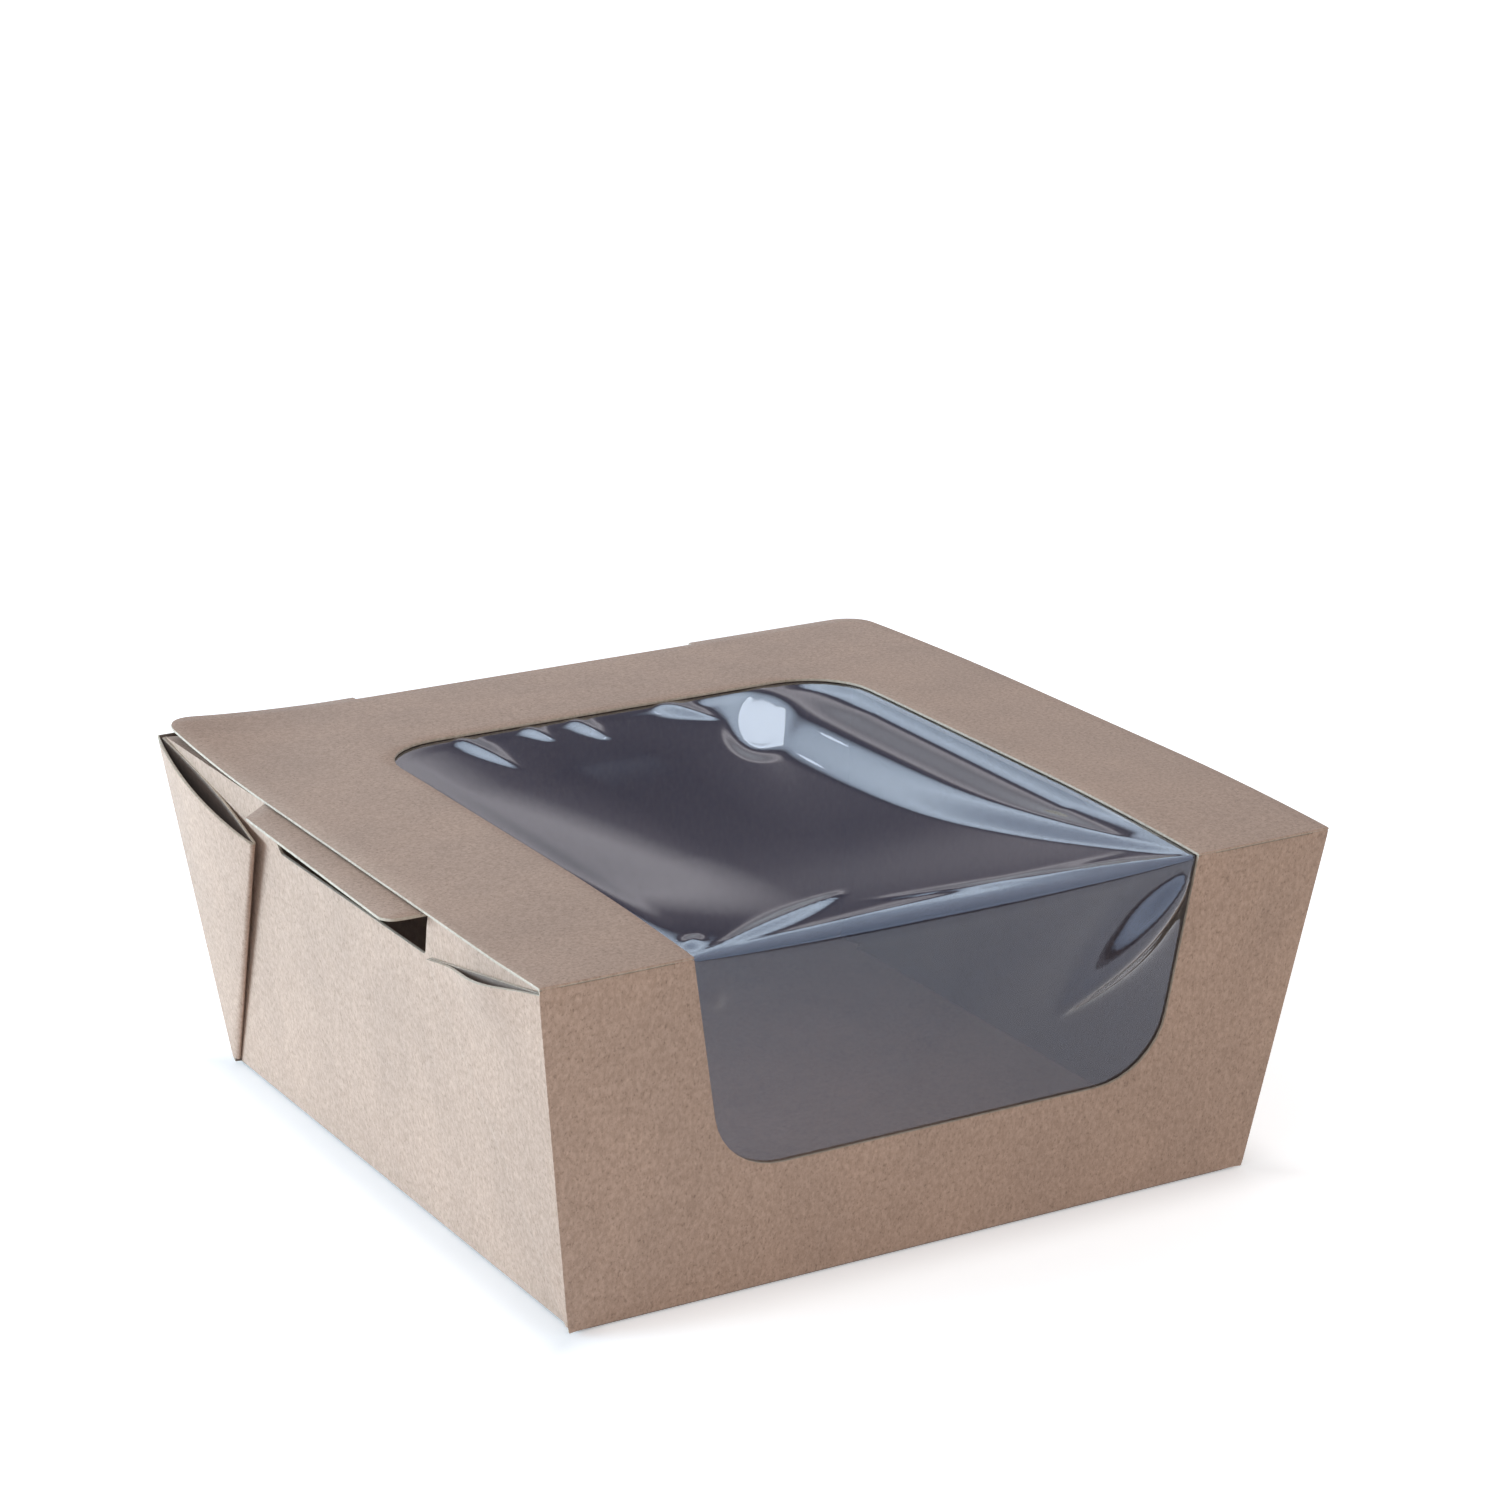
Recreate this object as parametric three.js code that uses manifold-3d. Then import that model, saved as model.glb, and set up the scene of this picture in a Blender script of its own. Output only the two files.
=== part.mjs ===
// A hot food box: one folded and glued kraft board blank with webbed corners, and a clear film window.
// Millimetres, +Z up, the front faces -Y, the origin is the middle of the underside.
import * as THREE from 'three';
import * as BufferGeometryUtils from 'three/addons/utils/BufferGeometryUtils.js';
import Module from 'manifold-3d';

const wasm = await Module();
wasm.setup();

// Driving sizes of the box
const top_width = 152;
const top_depth = 152;
const base_width = 134;
const base_depth = 134;
const height = 64;
const board = 0.5;
const film = 0.2;

// Clearances
const layer_gap = 0.1;
const hinge_gap = 0.3;
const glue_gap = 0.02;
const lid_rest_gap = 0.3;
const corner_gap = 0.15;

// Window: it runs from the front panel over the hinge fold into the lid
const window_half = 48.5;
const window_up_lid = 118;
const window_down_front = 41;
const window_radius = 13;
const film_margin = 6;

// The film hangs slack under the lid: its sag, and how far in from each edge that grows
const sag_depth = 1.2;
const sag_from_sides = 14;
const sag_from_rear = 16;
const sag_from_fold = 25;

// Dust flaps and their die-cut tabs
const flap_reach = 24;
const flap_end_taper = 12;
const tab_front = -34.5;
const tab_rear = 30;
const tab_reach = 7.5;
const tab_taper = 3.5;
const tab_droop_right = 22;
const notch_depth = 8.3;
const notch_radius = 1.5;

// Webbed corners
const web_tip_along = 33.8;
const web_tip_up = 55.5;
const sprung_tip_out = 1.4;
const sprung_middle_out = 4.6;
const sprung_middle_along = 48;
const sprung_middle_up = 62;

// Lid
const ear_radius = 8;
const ear_overhang = 0.3;
const ear_step = 0.8;
const lid_side_taper = 1;
const tuck_half = 35.3;
const tuck_depth = 20;
const tuck_gap = 0.35;
const tuck_radius = 7;
const tuck_lean_extra = 1;
const curl_along_side = 46;
const curl_from_tuck = 2.6;
const curl_angle = 5.7;

// Derived sizes: every panel is laid out on its middle surface
const half_board = board / 2;
const top_x = top_width / 2 - half_board;
const base_x = base_width / 2 - half_board;
const top_y = top_depth / 2 - half_board;
const base_y = base_depth / 2 - half_board;
const layer_step = board + layer_gap;
const side_base_x = base_x - 2 * layer_step;
const side_top_x = top_x - 2 * layer_step;
const side_end_inset = half_board + layer_step + corner_gap;
const lid_z = height;
const flap_z = lid_z - half_board - film - glue_gap - lid_rest_gap - half_board;
const back_top_z = lid_z - half_board - lid_rest_gap - half_board;
const run_x = top_x - base_x;
const run_y = top_y - base_y;

// Colours of the kraft board and of the film
const kraft = new THREE.MeshStandardMaterial({ name: 'kraft_board', color: '#b58e66', roughness: 0.85, metalness: 0 });
const clear = new THREE.MeshStandardMaterial({
  name: 'window_film',
  color: '#dfe6ea',
  roughness: 0.12,
  metalness: 0,
  transparent: true,
  opacity: 0.3,
});

// Closed solids and their joining
function toSolid(geometry) {
  const bare = geometry.clone();
  bare.deleteAttribute('normal');
  bare.deleteAttribute('uv');
  const merged = BufferGeometryUtils.mergeVertices(bare, 1e-5);
  const mesh = new wasm.Mesh({
    numProp: 3,
    vertProperties: new Float32Array(merged.attributes.position.array),
    triVerts: new Uint32Array(merged.index.array),
  });
  return new wasm.Manifold(mesh);
}

function toGeometry(solid) {
  const mesh = solid.getMesh();
  const geometry = new THREE.BufferGeometry();
  geometry.setAttribute('position', new THREE.BufferAttribute(new Float32Array(mesh.vertProperties), 3));
  geometry.setIndex(new THREE.BufferAttribute(new Uint32Array(mesh.triVerts), 1));
  geometry.computeVertexNormals();
  return geometry;
}

function joined(geometries) {
  let solid = toSolid(geometries[0]);
  for (const geometry of geometries.slice(1)) {
    solid = solid.add(toSolid(geometry));
  }
  return toGeometry(solid);
}

function node(name, geometry, material) {
  const mesh = new THREE.Mesh(geometry, material);
  mesh.name = name;
  return mesh;
}

// A flat outline: each point is [u, v] or [u, v, corner radius]
function outline(points) {
  const flat = [];
  const count = points.length;
  for (let i = 0; i < count; i += 1) {
    const [u, v, radius = 0] = points[i];
    const corner = new THREE.Vector2(u, v);
    if (radius === 0) {
      flat.push(corner);
      continue;
    }
    const before = points[(i + count - 1) % count];
    const after = points[(i + 1) % count];
    const back = new THREE.Vector2(before[0] - u, before[1] - v).normalize();
    const ahead = new THREE.Vector2(after[0] - u, after[1] - v).normalize();
    const half = Math.acos(back.dot(ahead)) / 2;
    const reach = radius / Math.tan(half);
    const middle = back.clone().add(ahead).normalize().multiplyScalar(radius / Math.sin(half)).add(corner);
    const start = back.clone().multiplyScalar(reach).add(corner).sub(middle);
    const end = ahead.clone().multiplyScalar(reach).add(corner).sub(middle);
    const steps = 8;
    const sweep = Math.atan2(start.x * end.y - start.y * end.x, start.dot(end));
    for (let k = 0; k <= steps; k += 1) {
      flat.push(start.clone().rotateAround(new THREE.Vector2(), (sweep * k) / steps).add(middle));
    }
  }
  return flat;
}

// A sheet of even thickness whose middle surface is the outline, placed by a basis and an origin
function sheet(points, thickness, placing) {
  const geometry = new THREE.ExtrudeGeometry(new THREE.Shape(outline(points)), {
    depth: thickness,
    bevelEnabled: false,
    steps: 1,
  });
  geometry.translate(0, 0, -thickness / 2);
  geometry.applyMatrix4(placing);
  return geometry;
}

function basis(u, v, origin) {
  const across = u.clone().normalize();
  const out = across.clone().cross(v).normalize();
  const up = out.clone().cross(across);
  return new THREE.Matrix4().makeBasis(across, up, out).setPosition(origin);
}

// A flat facet through three corners in space
function facet(a, b, c, thickness) {
  const placing = basis(b.clone().sub(a), c.clone().sub(a), a);
  const inverse = placing.clone().invert();
  const flat = [a, b, c].map((p) => p.clone().applyMatrix4(inverse)).map((p) => [p.x, p.y]);
  return sheet(flat, thickness, placing);
}

// A rounded fold or edge between two points
function fold(a, b, radius) {
  const along = b.clone().sub(a);
  const geometry = new THREE.CylinderGeometry(radius, radius, along.length(), 10);
  const turn = new THREE.Quaternion().setFromUnitVectors(new THREE.Vector3(0, 1, 0), along.clone().normalize());
  geometry.applyQuaternion(turn);
  const middle = a.clone().add(b).multiplyScalar(0.5);
  return geometry.translate(middle.x, middle.y, middle.z);
}

// Wall planes: along, up the lean and outward, with the origin at the foot of the wall
function wall(side, foot, run) {
  const out = new THREE.Vector3(...side);
  const along = new THREE.Vector3(0, 0, 1).cross(out);
  const up = out.clone().multiplyScalar(run).add(new THREE.Vector3(0, 0, height)).normalize();
  const origin = out.clone().multiplyScalar(foot).add(new THREE.Vector3(0, 0, half_board));
  const matrix = basis(along, up, origin);
  const rise = up.z;
  return {
    matrix,
    up_to: (z) => (z - half_board) / rise,
    at: (u, v, n = 0) => new THREE.Vector3(u, v, n).applyMatrix4(matrix),
  };
}

const front = wall([0, -1, 0], base_y, run_y);
const back = wall([0, 1, 0], base_y, run_y);
const left = wall([-1, 0, 0], side_base_x, run_x);
const right = wall([1, 0, 0], side_base_x, run_x);
const slope_x = run_x / front.up_to(height);
const slope_y = run_y / left.up_to(height);
const front_top = front.up_to(height) - half_board - hinge_gap;
const back_top = back.up_to(back_top_z);
const side_top = left.up_to(flap_z);

// Half widths of the walls at a height up the lean
const end_half = (v) => base_x + slope_x * v;
const side_half = (v) => base_y - side_end_inset + slope_y * v;
const web_half = (v) => base_y + slope_y * v;

const tray = [];

// Bottom panel and the four walls, with a rounded fold at each foot
tray.push(sheet(
  [[-side_base_x, -base_y], [side_base_x, -base_y], [side_base_x, base_y], [-side_base_x, base_y]],
  board,
  new THREE.Matrix4().makeTranslation(0, 0, half_board),
));
const window_foot = front_top - window_down_front + half_board + hinge_gap;
const window_low_half = window_half - slope_x * window_down_front;
tray.push(sheet([
  [-end_half(0), 0], [end_half(0), 0], [end_half(front_top), front_top],
  [window_half, front_top], [window_low_half, window_foot, window_radius],
  [-window_low_half, window_foot, window_radius], [-window_half, front_top],
  [-end_half(front_top), front_top],
], board, front.matrix));
tray.push(sheet([
  [-end_half(0), 0], [end_half(0), 0], [end_half(back_top), back_top], [-end_half(back_top), back_top],
], board, back.matrix));
for (const panel of [front, back]) {
  tray.push(fold(panel.at(-end_half(0), 0), panel.at(end_half(0), 0), half_board));
}

// Each side wall is given as seen from the front: s is the distance towards the rear
function sideWall(panel, mirror) {
  const notch_v = side_top - notch_depth;
  const points = [
    [-side_half(0), 0], [side_half(0), 0], [side_half(side_top), side_top],
    [tab_rear, side_top], [tab_rear - tab_taper, notch_v, notch_radius],
    [tab_front + tab_taper, notch_v, notch_radius], [tab_front, side_top],
    [-side_half(side_top), side_top],
  ].map(([s, v, radius]) => [s * mirror, v, radius]);
  if (mirror < 0) {
    points.reverse();
  }
  tray.push(sheet(points, board, panel.matrix));
  tray.push(fold(panel.at(-side_half(0), 0), panel.at(side_half(0), 0), half_board));
}
sideWall(left, -1);
sideWall(right, 1);

// Dust flap folded in under the lid, with the tab that stays in its plane and stands out of the notch
function dustFlap(sign, droop) {
  const edge = side_base_x + slope_x * side_top;
  const front_end = -side_half(side_top) + 1;
  const rear_end = side_half(side_top) - 1;
  const inner = edge - flap_reach;
  const placing = new THREE.Matrix4().makeTranslation(0, 0, flap_z);
  const flap = [
    [edge, front_end], [edge, rear_end],
    [inner, rear_end - flap_end_taper, 3], [inner, front_end + flap_end_taper, 3],
  ].map(([x, y, radius]) => [x * sign, y, radius]);
  const root = 0.2;
  const tab = [
    [-root, tab_front], [tab_reach, tab_front + 1, 0.6], [tab_reach - 1.5, tab_rear - 5, 0.6], [-root, tab_rear],
  ].map(([x, y, radius]) => [x * sign, y, radius]);
  if (sign < 0) {
    flap.reverse();
    tab.reverse();
  }
  tray.push(sheet(flap, board, placing));
  const tab_placing = new THREE.Matrix4().makeTranslation(edge * sign, 0, flap_z);
  tab_placing.multiply(new THREE.Matrix4().makeRotationY(THREE.MathUtils.degToRad(droop * sign)));
  tray.push(sheet(tab, board, tab_placing));
  const at = (y) => new THREE.Vector3(edge * sign, y, flap_z);
  tray.push(fold(at(front_end), at(tab_front), half_board));
  tray.push(fold(at(tab_rear), at(rear_end), half_board));
  if (droop > 0) {
    tray.push(fold(at(tab_front + 0.3), at(tab_rear - 0.3), half_board));
  }
}
dustFlap(-1, 0);
dustFlap(1, tab_droop_right);

// Webbed corner glued flat on the outside of a side wall: two layers joined by the diagonal fold
function flatWeb(panel, way) {
  const start = 1.2;
  const inner_end = (v) => side_half(v) * way;
  const outer_end = (v) => web_half(v) * way;
  const tip = web_tip_along * way;
  const mid = layer_step * 1.5;
  const layers = [
    [inner_end, layer_step],
    [outer_end, 2 * layer_step],
  ];
  for (const [end, out] of layers) {
    tray.push(facet(
      panel.at(end(start), start, out),
      panel.at(end(side_top), side_top, out),
      panel.at(tip, web_tip_up, out),
      board,
    ));
  }
  tray.push(fold(panel.at(inner_end(start), start, mid), panel.at(tip, web_tip_up, mid), mid - layer_step + half_board));
  cornerFolds(panel, way, start);
}

// The side wall's end turns back into the inner layer, and the end wall's turns into the outer one
function cornerFolds(panel, way, start) {
  const turn = layer_step / 2;
  tray.push(fold(
    panel.at(side_half(start) * way, start, turn),
    panel.at(side_half(side_top) * way, side_top, turn),
    turn + half_board,
  ));
  tray.push(fold(
    panel.at(web_half(start) * way, start, 2 * layer_step),
    panel.at(web_half(side_top) * way, side_top, 2 * layer_step),
    half_board,
  ));
}

// Webbed corner that has sprung open: the outer layer bows away from the inner one
function sprungWeb(panel, way) {
  const start = 1.2;
  const tip = panel.at(web_tip_along * way, web_tip_up, sprung_tip_out + layer_step);
  const inner_foot = panel.at(side_half(start) * way, start, layer_step);
  const outer_foot = panel.at(web_half(start) * way, start, 2 * layer_step);
  const inner_top = panel.at(side_half(side_top) * way, side_top, layer_step);
  const outer_top = panel.at(web_half(side_top) * way, side_top, 2 * layer_step);
  const inner_mid = panel.at(sprung_middle_along * way, sprung_middle_up, layer_step + 0.3);
  const outer_mid = panel.at(sprung_middle_along * way, sprung_middle_up, sprung_middle_out);
  tray.push(facet(inner_foot, inner_top, inner_mid, board));
  tray.push(facet(inner_foot, inner_mid, tip, board));
  tray.push(facet(outer_foot, outer_top, outer_mid, board));
  tray.push(facet(outer_foot, outer_mid, tip, board));
  tray.push(fold(inner_foot, inner_mid, half_board));
  tray.push(fold(outer_foot, outer_mid, half_board));
  tray.push(fold(inner_foot, tip, half_board));
  tray.push(fold(outer_foot, tip, half_board));
  tray.push(fold(inner_foot, outer_foot, half_board));
  cornerFolds(panel, way, start);
}

// On the left wall the along axis points to the front, on the right wall to the rear
sprungWeb(left, -1);
flatWeb(left, 1);
flatWeb(right, -1);
flatWeb(right, 1);

// Lid panel with its window cut, its curled rear corner and its tuck tab
const lid = [];
const hinge_y = -top_y;
const rear_y = top_y + ear_overhang;
const lid_front_half = top_x;
const lid_rear_half = top_x - lid_side_taper;
const tuck_y = top_y - (height - back_top_z) * (run_y / height) - half_board - tuck_gap - half_board;
const curl_side = [-lid_rear_half - lid_side_taper * (curl_along_side / top_depth), rear_y - curl_along_side];
const curl_rear = [-tuck_half - ear_step - curl_from_tuck, rear_y];
const lid_plane = new THREE.Matrix4().makeTranslation(0, 0, lid_z);
const window_rear = hinge_y + window_up_lid;
lid.push(sheet([
  [window_half, hinge_y], [lid_front_half, hinge_y], [lid_rear_half, rear_y, ear_radius],
  [tuck_half + ear_step, rear_y], [tuck_half + ear_step, tuck_y],
  [-tuck_half - ear_step, tuck_y], [-tuck_half - ear_step, rear_y], curl_rear,
  curl_side, [-lid_front_half, hinge_y], [-window_half, hinge_y],
  [-window_half, window_rear, window_radius], [window_half, window_rear, window_radius],
], board, lid_plane));
for (const sign of [-1, 1]) {
  const a = new THREE.Vector3(sign * window_half, hinge_y, lid_z);
  const b = new THREE.Vector3(sign * lid_front_half, hinge_y, lid_z);
  lid.push(fold(a, b, half_board));
}

// The rear left corner is bent up about a slanting line
const curl_a = new THREE.Vector3(curl_side[0], curl_side[1], lid_z);
const curl_b = new THREE.Vector3(curl_rear[0], curl_rear[1], lid_z);
const curl_frame = basis(curl_b.clone().sub(curl_a), new THREE.Vector3(-1, 1, 0), curl_a);
const curl_inverse = curl_frame.clone().invert();
const curl_corners = [
  [curl_side[0], curl_side[1]], [curl_rear[0], curl_rear[1]], [-lid_rear_half, rear_y, ear_radius],
].map(([x, y, radius]) => {
  const p = new THREE.Vector3(x, y, lid_z).applyMatrix4(curl_inverse);
  return [p.x, p.y, radius];
});
const curl_turn = new THREE.Matrix4().makeRotationX(THREE.MathUtils.degToRad(curl_angle));
lid.push(sheet(curl_corners, board, curl_frame.clone().multiply(curl_turn)));
lid.push(fold(curl_a, curl_b, half_board));

// The tuck tab hangs inside the back wall, a little steeper than the wall leans
const tuck_lean = Math.atan2(run_y, height) + THREE.MathUtils.degToRad(tuck_lean_extra);
const tuck_down = new THREE.Vector3(0, -Math.sin(tuck_lean), -Math.cos(tuck_lean));
const tuck_frame = basis(new THREE.Vector3(1, 0, 0), tuck_down, new THREE.Vector3(0, tuck_y, lid_z));
lid.push(sheet([
  [-tuck_half, 0], [tuck_half, 0], [tuck_half - 4, tuck_depth, tuck_radius], [-tuck_half + 4, tuck_depth, tuck_radius],
], board, tuck_frame));
lid.push(fold(
  new THREE.Vector3(-tuck_half, tuck_y, lid_z),
  new THREE.Vector3(tuck_half, tuck_y, lid_z),
  half_board,
));

// Clear film: glued behind the front panel and under the lid around the window
const film_half = window_half + film_margin;
const film_low_half = window_low_half + film_margin;
const film_foot = window_foot - film_margin;
const film_front_top = front_top - 0.8;
const film_out = -(half_board + glue_gap + film / 2);
const front_film = sheet([
  [-film_low_half, film_foot, 2], [film_low_half, film_foot, 2],
  [film_half, film_front_top, 1], [-film_half, film_front_top, 1],
], film, front.matrix.clone().multiply(new THREE.Matrix4().makeTranslation(0, 0, film_out)));
const film_fold_gap = 1.2;

function sag(x, y) {
  const grown = (distance, over) => Math.sin((Math.PI / 2) * Math.min(1, Math.max(0, distance) / over));
  return sag_depth
    * grown(window_half - Math.abs(x), sag_from_sides)
    * grown(window_rear - y, sag_from_rear)
    * grown(y - hinge_y, sag_from_fold);
}

// A closed plate over a grid of columns and rows, with its middle surface at the lid film's sag
function saggingFilm(columns, rows) {
  const low_y = hinge_y + film_fold_gap;
  const high_y = window_rear + film_margin;
  const positions = [];
  const faces = [];
  const across = columns + 1;
  const layer = across * (rows + 1);
  for (const half of [-film / 2, film / 2]) {
    for (let j = 0; j <= rows; j += 1) {
      for (let i = 0; i <= columns; i += 1) {
        const x = film_half * ((2 * i) / columns - 1);
        const y = low_y + ((high_y - low_y) * j) / rows;
        positions.push(x, y, lid_z + film_out - sag(x, y) + half);
      }
    }
  }
  const quad = (a, b, c, d) => faces.push(a, b, c, a, c, d);
  for (let j = 0; j < rows; j += 1) {
    for (let i = 0; i < columns; i += 1) {
      const k = j * across + i;
      quad(k, k + across, k + across + 1, k + 1);
      quad(layer + k, layer + k + 1, layer + k + across + 1, layer + k + across);
    }
  }
  for (let i = 0; i < columns; i += 1) {
    const k = rows * across + i;
    quad(i, i + 1, layer + i + 1, layer + i);
    quad(k + 1, k, layer + k, layer + k + 1);
  }
  for (let j = 0; j < rows; j += 1) {
    const k = j * across;
    quad(k + across, k, layer + k, layer + k + across);
    quad(k + columns, k + across + columns, layer + k + across + columns, layer + k + columns);
  }
  const geometry = new THREE.BufferGeometry();
  geometry.setAttribute('position', new THREE.Float32BufferAttribute(positions, 3));
  geometry.setIndex(faces);
  geometry.computeVertexNormals();
  return geometry;
}

const lid_film = saggingFilm(18, 20);

const box = new THREE.Group();
box.name = 'hot_food_box';
box.add(node('carton_tray', joined(tray), kraft));
box.add(node('carton_lid', joined(lid), kraft));
box.add(node('window_film_front', front_film, clear));
box.add(node('window_film_lid', lid_film, clear));

export default box;
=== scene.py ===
from math import acos, atan2, cos, exp, log, pi, radians, sin, sqrt, tan

import bmesh
import bpy
from mathutils import Matrix, Vector
from mathutils.geometry import delaunay_2d_cdt


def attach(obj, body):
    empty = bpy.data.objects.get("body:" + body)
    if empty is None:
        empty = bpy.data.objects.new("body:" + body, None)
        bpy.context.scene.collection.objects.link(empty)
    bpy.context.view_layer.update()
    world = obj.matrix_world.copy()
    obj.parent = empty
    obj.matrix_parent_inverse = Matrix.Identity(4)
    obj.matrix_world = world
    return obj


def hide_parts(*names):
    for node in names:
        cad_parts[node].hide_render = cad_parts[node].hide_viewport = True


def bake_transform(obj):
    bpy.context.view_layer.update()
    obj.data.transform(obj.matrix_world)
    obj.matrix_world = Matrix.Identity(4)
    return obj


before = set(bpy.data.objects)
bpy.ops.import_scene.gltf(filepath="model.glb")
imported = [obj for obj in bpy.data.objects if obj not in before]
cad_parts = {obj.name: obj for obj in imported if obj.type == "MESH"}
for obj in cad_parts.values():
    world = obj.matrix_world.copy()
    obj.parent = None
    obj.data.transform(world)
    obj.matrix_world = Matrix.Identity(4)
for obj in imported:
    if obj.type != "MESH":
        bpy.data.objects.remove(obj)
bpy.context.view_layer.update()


# The carton's tray: bottom, front, back and side walls of one folded kraft board blank, about
# half a millimetre thick. The walls lean outward, and the front one has the window's lower
# half cut out of its top edge. Brown outside, with pale cut edges; the inside board is painted a
# darker, greyer brown as shade for the box's dim inside.

board = 0.0005
layer_step = 0.0006
box_height = 0.064
top_width, base_width = 0.152, 0.134
half_top = top_width / 2 - board / 2
half_base = base_width / 2 - board / 2
side_base = half_base - 2 * layer_step
lean_run = half_top - half_base
point_step = 0.003
fold_gap = 0.00004

flap_height = box_height - 0.00107
back_height = box_height - 0.0008
front_height = box_height - board / 2 - fold_gap

window_half = 0.0485
window_low_left, window_low_right = 0.0402, 0.0448
window_down = 0.041
window_corner, window_corner_left = 0.013, 0.014

glue_line = 0.00015
side_end_inset = board / 2 + layer_step + glue_line
notch_front, notch_rear = -0.0345, 0.030
notch_depth, notch_slant, notch_corner = 0.0083, 0.0035, 0.0015


# A shader node whose sockets take a value or another node's output
def add_node(tree, kind, feeds, **settings):
    node = tree.nodes.new(kind)
    for setting, value in settings.items():
        setattr(node, setting, value)
    for socket, value in feeds.items():
        if isinstance(value, bpy.types.NodeSocket):
            tree.links.new(value, node.inputs[socket])
        else:
            node.inputs[socket].default_value = value
    return node


def colour_ramp(tree, factor, stops):
    ramp = add_node(tree, "ShaderNodeValToRGB", {"Fac": factor})
    points = ramp.color_ramp.elements
    points[0].position, points[0].color = stops[0][0], (*stops[0][1], 1)
    points[1].position, points[1].color = stops[-1][0], (*stops[-1][1], 1)
    for at, colour in stops[1:-1]:
        points.new(at).color = (*colour, 1)
    return ramp.outputs["Color"]


# Kraft board: fine pulp in two browns, faint clouds and scattered darker and paler fibres
def kraft_finish(name, pale, dark, speck, relief):
    material = bpy.data.materials.new(name)
    material.use_nodes = True
    tree = material.node_tree
    shader = tree.nodes["Principled BSDF"]
    shader.inputs["Roughness"].default_value = 0.68
    shader.inputs["Specular IOR Level"].default_value = 0.4
    shader.inputs["Sheen Weight"].default_value = 0.04
    shader.inputs["Sheen Roughness"].default_value = 0.45
    place = tree.nodes.new("ShaderNodeTexCoord")
    grain = add_node(tree, "ShaderNodeMapping", {
        "Vector": place.outputs["Object"], "Scale": (1.0, 1.0, 0.6)})

    def noise(scale, detail, rough):
        texture = add_node(tree, "ShaderNodeTexNoise", {
            "Vector": grain.outputs["Vector"], "Scale": scale, "Detail": detail, "Roughness": rough})
        return texture.outputs["Fac"]

    def multiplied(first, second):
        blend = add_node(
            tree, "ShaderNodeMix", {"Factor": 1.0, "A": first, "B": second},
            data_type="RGBA", blend_type="MULTIPLY")
        return blend.outputs["Result"]

    pulp = noise(scale=1400, detail=5, rough=0.7)
    cloud = noise(scale=60, detail=4, rough=0.55)
    fibre = noise(scale=2600, detail=2, rough=0.5)
    body = colour_ramp(tree, pulp, [(0.38, dark), (0.62, pale)])
    soft = colour_ramp(tree, cloud, [(0.35, (0.94, 0.94, 0.94)), (0.65, (1.04, 1.035, 1.03))])
    plain, light_fibre = (1.0, 1.0, 1.0), (1.14, 1.14, 1.13)
    flecks = colour_ramp(tree, fibre, [(0.30, speck), (0.42, plain), (0.62, plain), (0.74, light_fibre)])
    tree.links.new(multiplied(multiplied(body, soft), flecks), shader.inputs["Base Color"])
    bump = add_node(tree, "ShaderNodeBump", {"Strength": relief, "Distance": 0.0002, "Height": fibre})
    tree.links.new(bump.outputs["Normal"], shader.inputs["Normal"])
    return material


kraft_outside = kraft_finish(
    "kraft_outside", pale=(0.464, 0.322, 0.246), dark=(0.360, 0.243, 0.180),
    speck=(0.70, 0.68, 0.66), relief=0.1)
# The inside's darker, greyer browns are painted shade: they stand for the dim light inside the box
kraft_inside_painted_shade = kraft_finish(
    "kraft_inside_painted_shade", pale=(0.205, 0.152, 0.123), dark=(0.166, 0.121, 0.097),
    speck=(0.85, 0.84, 0.83), relief=0.03)
cut_edge = kraft_finish(
    "cut_edge", pale=(0.50, 0.42, 0.34), dark=(0.40, 0.325, 0.25), speck=(0.85, 0.83, 0.80), relief=0.1)


# An outline's corners are (x, y) or (x, y, radius)
def rounded(corners, arc_steps=8):
    points = []
    for i, corner in enumerate(corners):
        here = Vector(corner[:2])
        radius = corner[2] if len(corner) > 2 else 0
        if not radius:
            points.append(here)
            continue
        back = (Vector(corners[i - 1][:2]) - here).normalized()
        ahead = (Vector(corners[(i + 1) % len(corners)][:2]) - here).normalized()
        half = acos(max(-1, min(1, back.dot(ahead)))) / 2
        middle = here + (back + ahead).normalized() * radius / sin(half)
        first = here + back * radius / tan(half) - middle
        last = here + ahead * radius / tan(half) - middle
        sweep = atan2(first.x * last.y - first.y * last.x, first.dot(last))
        for k in range(arc_steps + 1):
            points.append(middle + Matrix.Rotation(sweep * k / arc_steps, 2) @ first)
    return points


def sampled(points, step):
    line = []
    for i, here in enumerate(points):
        there = points[(i + 1) % len(points)]
        count = max(1, round((there - here).length / step))
        line += [here.lerp(there, k / count) for k in range(count)]
    return line


def inside(point, line):
    crossings = 0
    for i, a in enumerate(line):
        b = line[i - 1]
        if (a.y > point.y) != (b.y > point.y):
            line_x = a.x + (point.y - a.y) * (b.x - a.x) / (b.y - a.y)
            crossings += point.x < line_x
    return crossings % 2 == 1


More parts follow.
